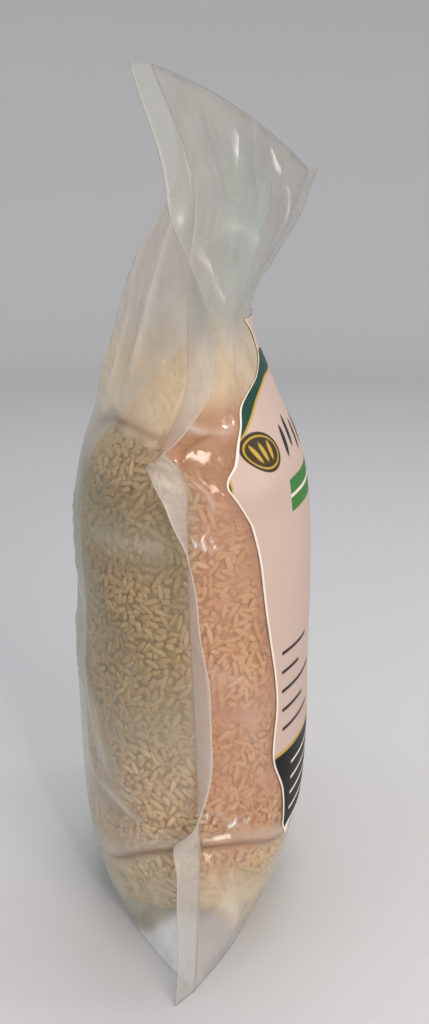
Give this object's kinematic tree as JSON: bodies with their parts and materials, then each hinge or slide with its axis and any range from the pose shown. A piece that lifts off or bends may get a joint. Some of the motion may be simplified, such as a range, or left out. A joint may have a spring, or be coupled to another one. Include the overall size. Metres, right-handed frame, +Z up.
{
  "type": "clear pouch of rice",
  "caption": "Clear plastic pillow pouch full of long grain rice, standing on its flattened bottom, with the empty top leaning over and a label on the front.",
  "frame": {"origin": "on the floor, in the middle of the bag's box", "axes": "+Z up the bag, +X out of the front sheet that carries the label, +Y along the width, away from the side seal that the picture shows"},
  "size_m": [0.0898, 0.1672, 0.291],
  "materials": {
    "film": "thin clear film, slightly milky, soft and wrinkled, glossy",
    "rice": "dry raw long grains of rice, translucent ivory, slightly waxy",
    "label": "thin printed plastic label, off-white with green, black and gold fields, satin"
  },
  "bodies": {
    "root": {"bag": "film", "label": "label"}
  },
  "joints": []
}
